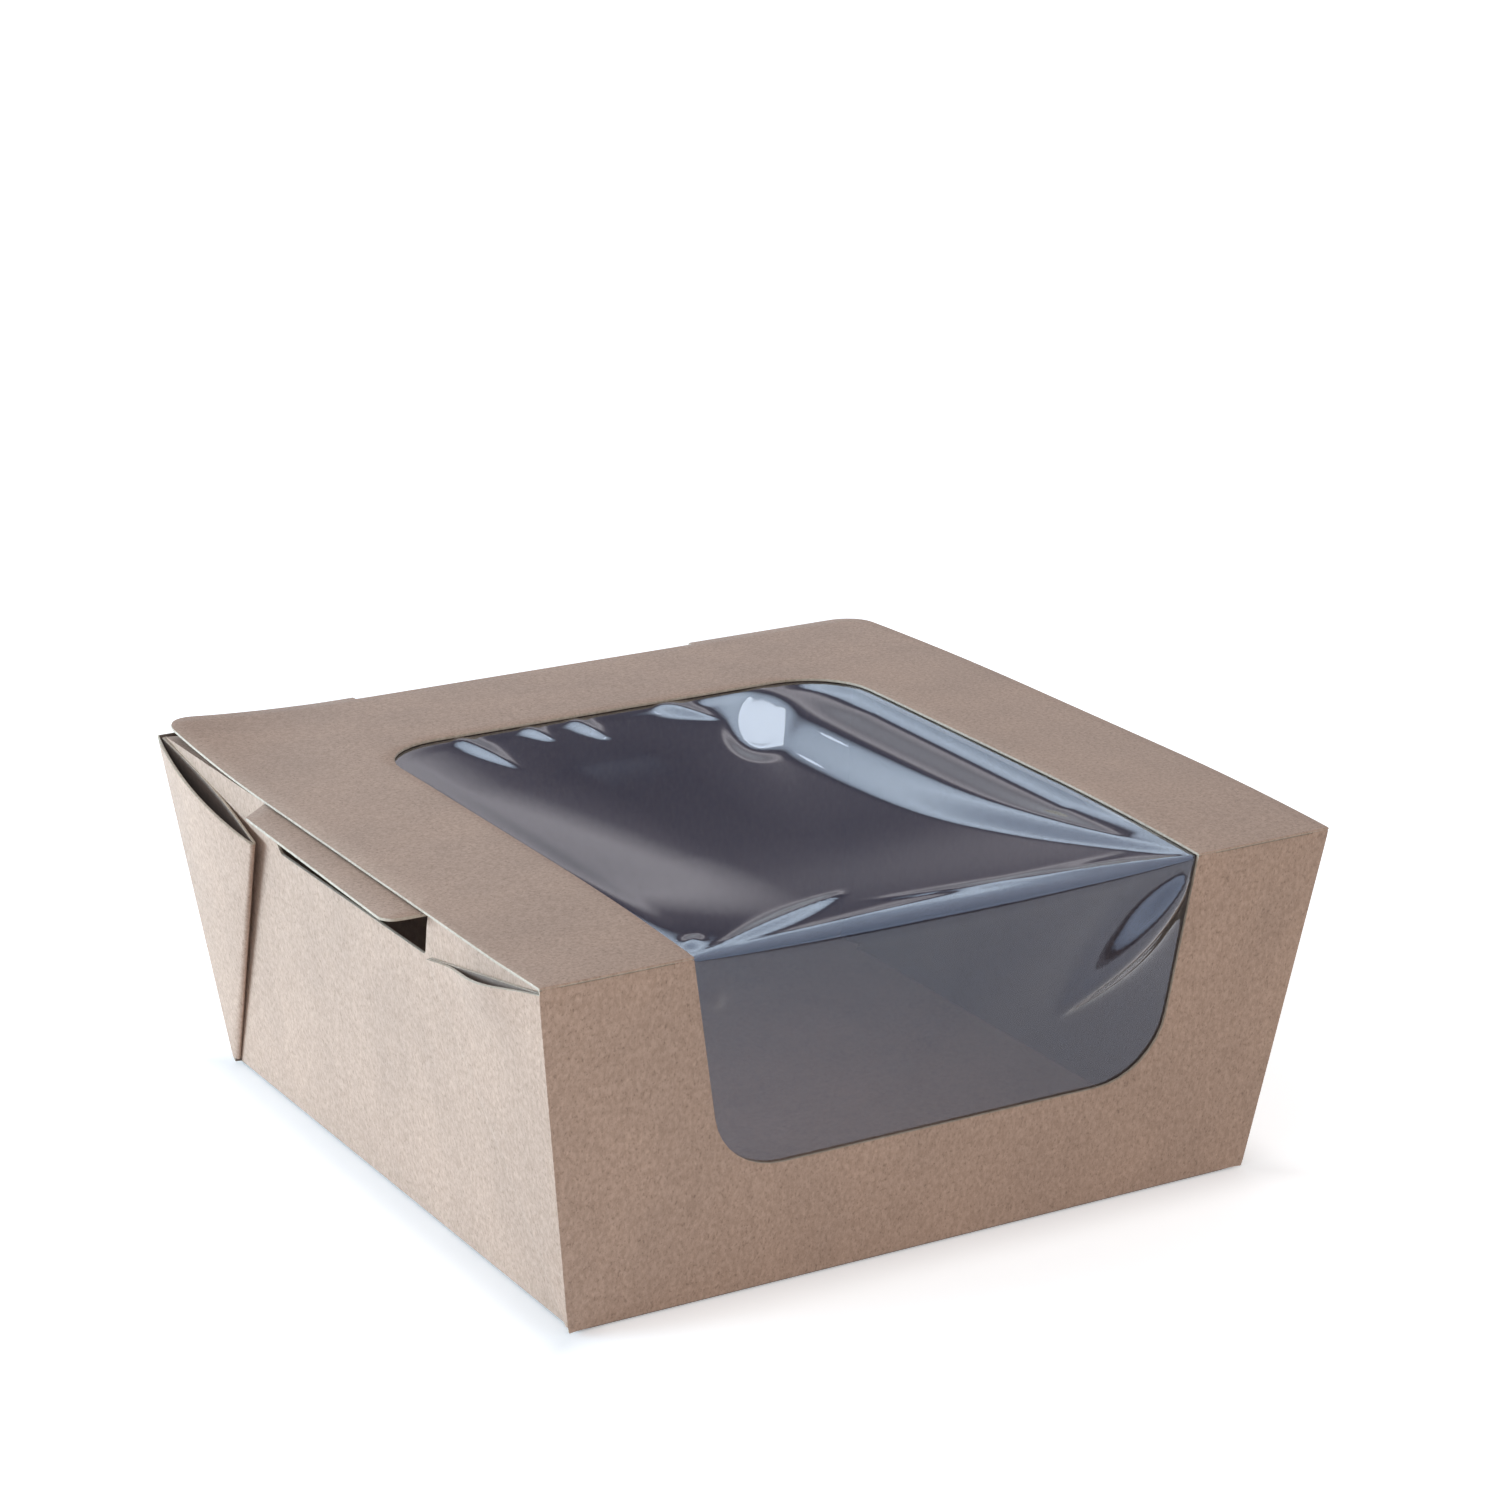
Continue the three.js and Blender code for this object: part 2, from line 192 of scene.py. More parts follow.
# A panel is a flat outline filled with a grid of points and set in space by a function
def panel(mesh, corners, place, step=point_step):
    clear_of_line = 0.55 * step
    line = sampled(rounded(corners), step)
    low = Vector((min(p.x for p in line), min(p.y for p in line)))
    high = Vector((max(p.x for p in line), max(p.y for p in line)))
    points = list(line)
    for i in range(int((high.x - low.x) / step) + 1):
        for j in range(int((high.y - low.y) / step) + 1):
            point = low + Vector(((i + 0.5) * step, (j + 0.5) * step))
            if inside(point, line) and min((point - p).length for p in line) > clear_of_line:
                points.append(point)
    edges = [(i, (i + 1) % len(line)) for i in range(len(line))]
    spots, _, faces, _, _, _ = delaunay_2d_cdt(points, edges, [], 1, 1e-9)
    made = [mesh.verts.new(place(p.x, p.y)) for p in spots]
    for face in faces:
        a, b, c = (spots[k] for k in face)
        turned = (b - a).x * (c - a).y - (b - a).y * (c - a).x
        order = face if turned > 0 else list(reversed(face))
        mesh.faces.new([made[k] for k in order])


# A wall leans outward from its foot: u runs along it, v up its slope and n out of its face
def wall(out, foot):
    out = Vector(out)
    along = Vector((0, 0, 1)).cross(out)
    up = (out * lean_run + Vector((0, 0, box_height))).normalized()
    away = along.cross(up)
    origin = out * foot + Vector((0, 0, board / 2))
    return lambda u, v, n=0.0: origin + along * u + up * v + away * n


rise = box_height / sqrt(box_height ** 2 + lean_run ** 2)
spread = lean_run / (box_height / rise)
front_wall = wall((0, -1, 0), half_base)
back_wall = wall((0, 1, 0), half_base)
left_wall = wall((-1, 0, 0), side_base)
right_wall = wall((1, 0, 0), side_base)
front_top = (front_height - board / 2) / rise
back_top = (back_height - board / 2) / rise
side_top = (flap_height - board / 2) / rise
window_foot = front_top - window_down
notch_floor = side_top - notch_depth
web_start = 0.0012


def end_half(v):
    return half_base + spread * v


def side_half(v):
    return half_base - side_end_inset + spread * v


# The outline of a right-hand panel, or with sign -1 its mirror image, running the same way round
def handed(outline, sign):
    mirrored = [(corner[0] * sign, *corner[1:]) for corner in outline]
    return mirrored if sign > 0 else mirrored[::-1]


tray_mesh = bmesh.new()
panel(tray_mesh, [
    (-side_base, -half_base), (side_base, -half_base),
    (side_base, -side_half(0)), (side_base, side_half(0)),
    (side_base, half_base), (-side_base, half_base),
    (-side_base, side_half(0)), (-side_base, -side_half(0)),
][::-1], lambda x, y: Vector((x, y, board / 2)))
panel(tray_mesh, [
    (-end_half(0), 0), (-side_base, 0), (side_base, 0), (end_half(0), 0), (end_half(web_start), web_start),
    (end_half(side_top), side_top), (end_half(front_top), front_top), (window_half, front_top),
    (window_low_right, window_foot, window_corner), (-window_low_left, window_foot, window_corner_left),
    (-window_half, front_top), (-end_half(front_top), front_top), (-end_half(side_top), side_top),
    (-end_half(web_start), web_start),
], front_wall)
panel(tray_mesh, [
    (-end_half(0), 0), (-side_base, 0), (side_base, 0), (end_half(0), 0), (end_half(web_start), web_start),
    (end_half(side_top), side_top), (end_half(back_top), back_top), (-end_half(back_top), back_top),
    (-end_half(side_top), side_top), (-end_half(web_start), web_start),
], back_wall)
side_outline = [
    (-side_half(0), 0), (side_half(0), 0), (side_half(web_start), web_start),
    (side_half(side_top), side_top), (notch_rear, side_top),
    (notch_rear - notch_slant, notch_floor, notch_corner),
    (notch_front + notch_slant, notch_floor, notch_corner),
    (notch_front, side_top), (-side_half(side_top), side_top), (-side_half(web_start), web_start),
]
for side, sign in ((left_wall, -1), (right_wall, 1)):
    panel(tray_mesh, handed(side_outline, sign), side)


# Dust flaps: each side wall's top edge is folded in under the lid. A tab die-cut out of the
# wall stays in the flap's plane and stands out over the notch that it leaves. The left tab
# lies nearly level, the right one droops.

flap_reach, flap_taper, flap_corner = 0.024, 0.012, 0.003
flap_edge = side_base + spread * side_top
flap_end = side_half(side_top)
tab_reach, tab_skew = 0.0075, 0.0015
tab_front_slant, tab_rear_slant = 0.001, 0.005
tab_front_corner, tab_rear_corner = 0.003, 0.0006


def flap_place(sign, droop):
    def place(x, y):
        beyond = max(0.0, abs(x) - flap_edge)
        level = sign * (flap_edge + beyond * cos(droop)) if beyond else x
        return Vector((level, y, flap_height - beyond * sin(droop)))
    return place


flap_outline = [
    (flap_edge, -flap_end), (flap_edge, notch_front),
    (flap_edge + tab_reach, notch_front + tab_front_slant, tab_front_corner),
    (flap_edge + tab_reach - tab_skew, notch_rear - tab_rear_slant, tab_rear_corner),
    (flap_edge, notch_rear), (flap_edge, flap_end),
    (flap_edge - flap_reach, flap_end - flap_taper, flap_corner),
    (flap_edge - flap_reach, flap_taper - flap_end, flap_corner),
]
for sign, droop in ((-1, radians(2)), (1, radians(22))):
    panel(tray_mesh, handed(flap_outline, sign), flap_place(sign, droop))


# Webbed corners: the board between two walls is folded in half on the diagonal and laid on
# the outside of the side wall, so the tray holds liquid. They are glued, but the one at the
# left rear has sprung open, and the one at the left front gapes a little at its top.

web_tip_along, web_tip_up = 0.0338, 0.0555
sprung_tip_out, sprung_swell, sprung_hollow = 0.0014, 0.0020, 0.0009
gape, gape_start = 0.0020, 0.72
turn_steps = 6


# Half of a web: a triangle from the foot of its corner to the corner's top and the web's tip
def web_patch(mesh, apex, top, tip, swell, outward, flip):
    count = max(1, round((top - apex).length / point_step))
    rows = []
    for i in range(count + 1):
        near, far = apex.lerp(top, i / count), apex.lerp(tip, i / count)
        row = []
        for j in range(i + 1):
            across = j / i if i else 0
            out = swell(i / count, across)
            row.append(mesh.verts.new(near.lerp(far, across) + outward * out))
        rows.append(row)
    for i in range(count):
        for j in range(i + 1):
            faces = [(rows[i][j], rows[i + 1][j], rows[i + 1][j + 1])]
            if j < i:
                faces.append((rows[i][j], rows[i + 1][j + 1], rows[i][j + 1]))
            for face in faces:
                mesh.faces.new(face[::-1] if flip else face)


# The board turns back on itself in a half round between two edges
def turn_strip(mesh, first, second, beyond, flip):
    count = max(1, round((first[1] - first[0]).length / point_step))
    rings = []
    for i in range(count + 1):
        a = first[0].lerp(first[1], i / count)
        b = second[0].lerp(second[1], i / count)
        middle, half = (a + b) / 2, (a - b) / 2
        rings.append([
            mesh.verts.new(middle + half * cos(turn) + beyond * half.length * sin(turn))
            for turn in (pi * k / turn_steps for k in range(turn_steps + 1))
        ])
    for i in range(count):
        for k in range(turn_steps):
            quad = (rings[i][k], rings[i + 1][k], rings[i + 1][k + 1], rings[i][k + 1])
            mesh.faces.new(quad[::-1] if flip else quad)


# One web joins an end of a side wall (way says which) to an end of the front or back wall: one
# half lies against the side wall, turns back on itself at the web's fold and runs to the other
def web(side, way, end_wall, end_way, tip_out, inner_swell, outer_swell):
    normal = (side(0, 0, 1) - side(0, 0, 0)).normalized()
    corner = (side(way, 0) - side(0, 0)).normalized()
    wall_end = [side(side_half(v) * way, v) for v in (web_start, side_top)]
    inner_end = [side(side_half(v) * way, v, layer_step) for v in (web_start, side_top)]
    outer_end = [end_wall(end_half(v) * end_way, v) for v in (web_start, side_top)]
    inner_tip = side(web_tip_along * way, web_tip_up, layer_step + tip_out)
    outer_tip = side(web_tip_along * way, web_tip_up, 2 * layer_step + tip_out)
    turn_strip(tray_mesh, wall_end, inner_end, corner, way > 0)
    web_patch(tray_mesh, inner_end[0], inner_end[1], inner_tip, inner_swell, normal, way > 0)
    web_patch(tray_mesh, outer_end[0], outer_end[1], outer_tip, outer_swell, normal, way < 0)
    fold_way = (inner_tip - inner_end[0]).normalized().cross(normal) * way
    turn_strip(tray_mesh, [inner_end[0], inner_tip], [outer_end[0], outer_tip], -fold_way, way > 0)


def no_swell(along, across):
    return 0.0


def sprung_outer(along, across):
    return sprung_swell * along ** 2 * sin(pi * across) ** 0.8


def sprung_inner(along, across):
    return -sprung_hollow * along ** 2 * sin(pi * across)


def gaping_outer(along, across):
    near_top = max(0.0, (along - gape_start) / (1 - gape_start))
    return gape * near_top ** 2 * sin(pi * min(1.0, across * 1.15)) ** 2


# Seen along the left wall, +1 is its front end; on the right wall +1 is its rear end
web(left_wall, -1, back_wall, 1, sprung_tip_out, sprung_inner, sprung_outer)
web(left_wall, 1, front_wall, -1, 0.0, no_swell, gaping_outer)
web(right_wall, -1, front_wall, 1, 0.0, no_swell, no_swell)
web(right_wall, 1, back_wall, -1, 0.0, no_swell, no_swell)


# A folded mid-surface becomes board: brown outside, inside painted darker as shade, pale and worn at its
# edges
def board_piece(name, mesh, body, node):
    worn_edge, fold_angle, seam = 0.00012, radians(38), 0.000002
    bmesh.ops.remove_doubles(mesh, verts=mesh.verts, dist=seam)
    data = bpy.data.meshes.new(name)
    mesh.to_mesh(data)
    mesh.free()
    for material in (kraft_outside, kraft_inside_painted_shade, cut_edge):
        data.materials.append(material)
    piece = bpy.data.objects.new(name, data)
    bpy.context.collection.objects.link(piece)
    thick = piece.modifiers.new("board", "SOLIDIFY")
    thick.thickness = board
    thick.offset = 0.0
    thick.material_offset = 1
    thick.material_offset_rim = 2
    soft = piece.modifiers.new("worn_edges", "BEVEL")
    soft.width = worn_edge
    soft.segments = 2
    soft.limit_method = "ANGLE"
    soft.angle_limit = fold_angle
    for face in data.polygons:
        face.use_smooth = True
    data.set_sharp_from_angle(angle=fold_angle)
    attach(piece, body)
    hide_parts(node)


board_piece("carton_board_tray", tray_mesh, "tray", "carton_tray")


# The carton's lid: the same board, hinged at the front on a cut-score fold, with the window's
# upper half cut out of it. Its rear left corner curls up, its rear corners are rounded, and a
# tuck tab between them goes down inside the back wall.

lid_front_half, lid_rear_half = half_top, half_top - 0.001
lid_rear = half_top + 0.0003
lid_corner_left, lid_corner_right = 0.006, 0.0062
window_length = 0.118
window_rear = -half_top + window_length
tuck_half, ear_step = 0.0353, 0.0008
tuck_clear = 0.00035
tuck_line = half_top - (box_height - back_height) * lean_run / box_height - board - tuck_clear
tuck_depth, tuck_taper, tuck_corner = 0.020, 0.004, 0.007
lip_step = board / 3
lid_bow, bow_rises_to, bow_falls_from = 0.0013, 0.3, 0.6
left_rest, edge_hold = 0.00042, 0.92
curl_bend = 3.0
curl_start, curl_end = Vector((-0.0746, 0.030)), Vector((-0.0387, 0.0760))
curl_across = Vector((-(curl_end - curl_start).y, (curl_end - curl_start).x)).normalized()


# The lid bows up between its fold and its tucked end. Its left edge rests on the dust flap
# below, and its front edge bends down over the front wall.
def lid_rise(x, y):
    beyond = max(0.0, (Vector((x, y)) - curl_start).dot(curl_across))
    length = max(0.0, min(1.0, (y + half_top) / (2 * half_top)))
    rising = 1 - (1 - min(1.0, length / bow_rises_to)) ** 2
    falling = 1 - max(0.0, (length - bow_falls_from) / (1 - bow_falls_from)) ** 2
    edge = max(0.0, -x - window_half) / (half_top - window_half)
    rest = left_rest * edge ** 1.5 * min(1.0, length / 0.1)
    return curl_bend * beyond ** 2 + lid_bow * rising * falling * (1 - edge_hold * edge) - rest


def lid_place(x, y):
    return Vector((x, y, box_height + lid_rise(x, y)))


tuck_lean = atan2(lean_run, box_height) + radians(1)


def tuck_place(x, down):
    fold = lid_place(x, tuck_line)
    return fold + Vector((0, -sin(tuck_lean), -cos(tuck_lean))) * -down


lid_mesh = bmesh.new()
panel(lid_mesh, [
    (window_half, -half_top), (lid_front_half, -half_top), (lid_rear_half, lid_rear, lid_corner_right),
    (tuck_half + ear_step, lid_rear), (tuck_half + ear_step, tuck_line), (tuck_half, tuck_line),
    (-tuck_half, tuck_line), (-tuck_half - ear_step, tuck_line), (-tuck_half - ear_step, lid_rear),
    (-lid_rear_half, lid_rear, lid_corner_left), (-lid_front_half, -half_top), (-window_half, -half_top),
    (-window_half, window_rear, window_corner), (window_half, window_rear, window_corner),
], lid_place)
panel(lid_mesh, [
    (tuck_half, 0), (-tuck_half, 0), (tuck_taper - tuck_half, -tuck_depth, tuck_corner),
    (tuck_half - tuck_taper, -tuck_depth, tuck_corner),
][::-1], lambda x, down: tuck_place(-x, down))
on_fold = 0.000001
front_edge = [
    edge for edge in lid_mesh.edges
    if all(abs(v.co.y + half_top) < on_fold for v in edge.verts)
]
lip = bmesh.ops.extrude_edge_only(lid_mesh, edges=front_edge)
for part in lip["geom"]:
    if isinstance(part, bmesh.types.BMVert):
        part.co += Vector((0, -lip_step, -lip_step))
board_piece("carton_board_lid", lid_mesh, "lid", "carton_lid")


# The window film: one thin clear sheet glued inside the front wall and under the lid. It is
# slack, so it sags off the lid, turns the fold in a soft bend and creases towards the two
# ends of the cut-out at the hinge.

film_margin = 0.006
film_half = window_half + film_margin
film_rear = window_length + film_margin
film_foot = window_down + film_margin
film_thickness, film_clear = 0.00008, 0.00012
film_under = board / 2 + film_clear
film_step = 0.00085


def grown(distance, over):
    return sin(pi / 2 * max(0.0, min(1.0, distance / over)))


def soft_step(value):
    value = max(0.0, min(1.0, value))
    return value * value * (3 - 2 * value)


# Where a curve through (distance from the fold, place across) pairs lies at one distance
def across_at(curve, s):
    last = len(curve) - 1
    k = max(i for i in range(last) if i == 0 or curve[i][0] <= s)
    (s0, x0), (s1, x1) = curve[k], curve[k + 1]
    before, after = curve[max(0, k - 1)], curve[min(last, k + 2)]
    t = max(0.0, min(1.0, (s - s0) / (s1 - s0)))
    lean0 = (x1 - before[1]) / (s1 - before[0]) * (s1 - s0)
    lean1 = (after[1] - x0) / (after[0] - s0) * (s1 - s0)
    return ((2 * t ** 3 - 3 * t ** 2 + 1) * x0 + (t ** 3 - 2 * t ** 2 + t) * lean0
            + (3 * t ** 2 - 2 * t ** 3) * x1 + (t ** 3 - t ** 2) * lean1)


# Under the lid: to the right of the pull line, which runs from the right end of the fold to the
# rear edge, the film climbs to a ridge. It falls again beyond it and climbs at the right edge.
pull_line = [
    (0.0, 0.0492), (0.012, 0.0405), (0.025, 0.0330), (0.042, 0.0270),
    (0.066, 0.0245), (0.095, 0.0245), (0.118, 0.0275),
]
ridge_share, valley_share, valley_right = 0.12, 0.66, 0.0430
climb_at_fold, climb_more, climb_reach = 0.0014, 0.0062, 0.085

# The film sags to its full depth at these distances from the window's edges and from the fold
sag_depth = 0.0019
sag_rear_left, sag_rear_right = 0.076, 0.023
sag_left, sag_fold, sag_edge = 0.030, 0.045, 0.0055


# How far a point under the lid lies inside the window's cut edge, round its corners too
def from_edge(x, s):
    across, rearward = window_half - abs(x), window_length - s
    if max(across, rearward) < window_corner:
        return window_corner - sqrt((window_corner - across) ** 2 + (window_corner - rearward) ** 2)
    return min(across, rearward)


def lid_sag(x, s):
    rear_reach = sag_rear_left + (sag_rear_right - sag_rear_left) * soft_step((x + 0.005) / 0.035)
    rear = grown(window_length - s, rear_reach)
    left = grown(window_half + x, sag_left)
    fold = grown(s, sag_fold)
    pull = across_at(pull_line, s)
    half_wide = climb_at_fold + climb_more * grown(s, climb_reach)
    climb = soft_step((x - pull + half_wide) / (2 * half_wide))
    crest = pull + half_wide
    room = max(0.0005, valley_right - crest)
    valley = soft_step((x - crest) / room) * min(1.0, room / 0.008)
    share = 1 - (1 - ridge_share) * climb + (valley_share - ridge_share) * valley
    return sag_depth * rear * left * fold * share * grown(from_edge(x, s), sag_edge)


# Creases: start and end as (x, distance from the fold, + on the lid), half width, height and
# where along its length the crease is widest
creases = [
    ((-0.0310, 0.1185), (-0.0288, 0.0970), 0.0021, 0.00042, 0.30),
    ((-0.0172, 0.1185), (-0.0165, 0.1080), 0.0017, 0.00030, 0.35),
    ((-0.0076, 0.1185), (-0.0072, 0.1040), 0.0019, 0.00036, 0.35),
    ((0.0105, 0.1185), (0.0165, 0.1060), 0.0030, 0.00055, 0.35),
    ((-0.0486, 0.0006), (-0.0110, 0.0160), 0.0016, 0.00060, 0.60),
    ((-0.0480, 0.0018), (0.0470, 0.0085), 0.0012, 0.00012, 0.50),
    ((-0.0478, 0.0036), (-0.0425, 0.0092), 0.0012, 0.00050, 0.50),
    ((0.0486, 0.0004), (0.0150, 0.0070), 0.0016, 0.00022, 0.40),
    ((0.0486, 0.0004), (-0.0120, 0.0100), 0.0014, 0.00024, 0.45),
    ((0.0486, -0.0028), (0.0232, -0.0262), 0.0040, 0.00360, 0.45),
    ((-0.0470, -0.0052), (-0.0420, -0.0104), 0.0013, 0.00080, 0.60),
    ((0.0300, -0.0050), (-0.0050, -0.0300), 0.0090, 0.00060, 0.50),
]


def crease_height(x, s):
    height = 0.0
    for start, end, width, size, widest in creases:
        a, b, p = Vector(start), Vector(end), Vector((x, s))
        along = (p - a).dot(b - a) / (b - a).length_squared
        if 0 < along < 1:
            off = (p - a - (b - a) * along).length
            swell = sin(pi * along ** (log(0.5) / log(widest)))
            reach = width * (0.12 + 0.88 * swell)
            height += size * swell * exp(-(off / reach) ** 2)
    return height


# The flat place: a small oval of the film, near the window's rear edge, is drawn flat and
# tilted a little, so that it mirrors a round lamp as one round spot
glint, glint_slope = Vector((0.0228, 0.1010)), Vector((0.090, 0.022))
glint_long, glint_wide, glint_lean = 0.0150, 0.0052, Vector((0.5, 0.866))


def film_height(x, s):
    here = Vector((x, s)) - glint
    along, across = here.dot(glint_lean), here.cross(glint_lean)
    share = 1 - soft_step((sqrt((along / glint_long) ** 2 + (across / glint_wide) ** 2) - 0.85) / 0.65)
    height = crease_height(x, s) - lid_sag(x, s)
    if share <= 0:
        return height
    bow = lid_rise(x, s - half_top) - lid_rise(glint.x, glint.y - half_top)
    return height + share * (here.dot(glint_slope) - bow - lid_sag(glint.x, glint.y) - height)


hinge_line = Vector((0, -half_top, box_height))
front_down = Vector((0, lean_run, -box_height)).normalized()
front_out = Vector((0, -box_height, -lean_run)).normalized()
bend_at_edge, bend_more = 0.0008, 0.0034
front_sag, front_sag_reach = 0.0005, 0.012


# A point of the film by its place across the box and its distance from the fold. Within the
# bend it runs round the fold in a curve that is wider in the middle than at the window's edges.
def film_place(x, s):
    low = min(1.0, max(0.0, -s / window_down))
    half = window_half + (((window_low_left if x < 0 else window_low_right) - window_half) * low)
    side = max(0.0, 1 - (abs(x) / half) ** 2)
    bend = bend_at_edge + bend_more * side ** 0.8
    hinge = hinge_line + Vector((x, 0, 0))
    up = Vector((0, 0, 1))
    if s >= bend:
        point = Vector((x, -half_top + s, box_height + lid_rise(x, -half_top + s) - film_under))
        normal = up
    elif s <= -bend:
        point = hinge + front_down * -s - front_out * film_under
        normal = front_out
    else:
        t = (s + bend) / (2 * bend)
        corner = hinge + Vector((0, film_under, -film_under))
        a = corner + front_down * bend
        b = corner + Vector((0, bend, lid_rise(x, -half_top + bend)))
        point = a * (1 - t) ** 2 + corner * 2 * t * (1 - t) + b * t ** 2
        normal = (front_out * (1 - t) + up * t).normalized()
    free = min(1.0, side * 14)
    if s > 0:
        return point + normal * film_height(x, s) * free
    sag = front_sag * side * min(1.0, 2 * (1 - low)) * min(1.0, -s / front_sag_reach)
    return point + normal * (crease_height(x, s) * free - sag)


film_mesh = bmesh.new()
columns = round(2 * film_half / film_step)
rows = round((film_rear + film_foot) / film_step)
grid = []
for i in range(rows + 1):
    s = film_rear - (film_rear + film_foot) * i / rows
    low = min(1.0, max(0.0, -s / film_foot))
    left_side = -film_half + (window_half - window_low_left) * low
    right_side = film_half - (window_half - window_low_right) * low
    grid.append([
        film_mesh.verts.new(film_place(left_side + (right_side - left_side) * k / columns, s))
        for k in range(columns + 1)
    ])
for i in range(rows):
    for k in range(columns):
        film_mesh.faces.new((grid[i][k], grid[i + 1][k], grid[i + 1][k + 1], grid[i][k + 1]))
film_data = bpy.data.meshes.new("window_film")
film_mesh.to_mesh(film_data)
film_mesh.free()
for face in film_data.polygons:
    face.use_smooth = True

clear_film = bpy.data.materials.new("clear_film")
clear_film.use_nodes = True
film_tree = clear_film.node_tree
film_shader = film_tree.nodes["Principled BSDF"]
film_shader.inputs["Base Color"].default_value = (0.93, 0.935, 0.97, 1)
film_shader.inputs["Transmission Weight"].default_value = 1.0
film_shader.inputs["IOR"].default_value = 1.55
# The bluish specular tint is a painted reflection colour: it gives what the film mirrors the cool light's
# blue
film_shader.inputs["Specular Tint"].default_value = (0.75, 0.81, 1.0, 1)
film_spot = film_tree.nodes.new("ShaderNodeTexCoord")
film_haze = add_node(film_tree, "ShaderNodeTexNoise", {"Vector": film_spot.outputs["Object"], "Scale": 60})
film_gloss = add_node(film_tree, "ShaderNodeMapRange", {
    "Value": film_haze.outputs["Fac"], "To Min": 0.008, "To Max": 0.035})
film_tree.links.new(film_gloss.outputs["Result"], film_shader.inputs["Roughness"])
film_data.materials.append(clear_film)
film = bpy.data.objects.new("window_film_sheet", film_data)
bpy.context.collection.objects.link(film)
film_thick = film.modifiers.new("film", "SOLIDIFY")
film_thick.thickness = film_thickness
film_thick.offset = 0.0
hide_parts("window_film_front", "window_film_lid")
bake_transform(film)


# The hinge fold's bridges: the board is cut through along the fold except for four short
# bridges, at the outer corners and beside the window, which are bent round the fold.

bridge_width, bridge_reach, bridge_thickness = 0.003, 0.0011, 0.00015
bridge_clear = 0.00002
bridge_mesh = bmesh.new()
for middle in (-0.0738, -0.0505, 0.0505, 0.0738):
    profile = [
        hinge_line + front_down * bridge_reach + Vector((0, -board / 2 - bridge_clear, 0)),
        hinge_line + Vector((0, -board / 2 - bridge_clear, -0.0003)),
        hinge_line + Vector((0, -board * 0.42, board * 0.2)),
        hinge_line + Vector((0, -board * 0.1, board / 2)),
        hinge_line + Vector((0, 0.0008, board / 2 + bridge_clear)),
    ]
    previous = None
    for point in profile:
        pair = [
            bridge_mesh.verts.new(point + Vector((middle + side * bridge_width / 2, 0, 0)))
            for side in (-1, 1)
        ]
        if previous:
            bridge_mesh.faces.new((previous[0], previous[1], pair[1], pair[0]))
        previous = pair
bridge_data = bpy.data.meshes.new("hinge_bridges")
bridge_mesh.to_mesh(bridge_data)
bridge_mesh.free()
bridge_data.materials.append(kraft_outside)
bridges = bpy.data.objects.new("hinge_bridges", bridge_data)
bpy.context.collection.objects.link(bridges)
bridge_thick = bridges.modifiers.new("board", "SOLIDIFY")
bridge_thick.thickness = bridge_thickness
bridge_thick.offset = -1.0
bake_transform(bridges)


# The camera stands to the left of the front, a little above the box, as in the photograph. Its
# focal length and the photograph's width are in the photograph's pixels.

turn, tilt, roll = radians(-30.238), radians(17.857), radians(0.02)
seat_back, seat_right, seat_up = 0.7508, 0.00504, 0.06584
focal_length, photo_width, sensor_width = 4134.8, 1500, 36
back = Vector((sin(turn) * cos(tilt), -cos(turn) * cos(tilt), sin(tilt)))
level = Vector((cos(turn), sin(turn), 0))
upward = back.cross(level)
right = level * cos(roll) + upward * sin(roll)
up = upward * cos(roll) - level * sin(roll)
seat = back * seat_back + right * seat_right + up * seat_up
camera_data = bpy.data.cameras.new("camera")
camera_data.sensor_width = sensor_width
camera_data.lens = sensor_width * focal_length / photo_width
camera_data.clip_end = 50
camera = bpy.data.objects.new("camera", camera_data)
bpy.context.collection.objects.link(camera)
camera.matrix_world = Matrix((
    (right.x, up.x, back.x, seat.x),
    (right.y, up.y, back.y, seat.y),
    (right.z, up.z, back.z, seat.z),
    (0, 0, 0, 1),
))
bpy.context.scene.camera = camera


# The studio: a white floor whose own glow is lowered in a band round the box's foot, most at the
# left, which paints a soft shadow there over the cast one; a sky paler at the horizon, and a room
# that shows only in reflections. Two soft lamps stand at the left and the front, and the film
# mirrors a small round one as one round spot.

floor_half = 8.0
# Painted shadow: the floor's glow is lowered in a band round the box's foot, between these distances from
# its middle, and most at its left foot
painted_shadow_from, painted_shadow_to = 0.064, 0.080
left_painted_shadow_from, left_painted_shadow_to = -0.060, -0.070
glow_at_foot, glow_at_left_foot, glow_away = 0.30, 0.03, 0.54
floor_data = bpy.data.meshes.new("studio_floor")
floor_mesh = bmesh.new()
bmesh.ops.create_grid(floor_mesh, x_segments=1, y_segments=1, size=floor_half)
floor_mesh.to_mesh(floor_data)
floor_mesh.free()
floor_paint = bpy.data.materials.new("floor_white")
floor_paint.use_nodes = True
floor_tree = floor_paint.node_tree
paint = floor_tree.nodes["Principled BSDF"]
paint.inputs["Base Color"].default_value = (0.93, 0.94, 0.95, 1)
paint.inputs["Roughness"].default_value = 0.9
paint.inputs["Specular IOR Level"].default_value = 0.0
paint.inputs["Emission Color"].default_value = (1, 1, 1, 1)


def worked_out(tree, operation, *values, clamped=False):
    node = add_node(
        tree, "ShaderNodeMath", dict(enumerate(values)), operation=operation, use_clamp=clamped)
    return node.outputs["Value"]


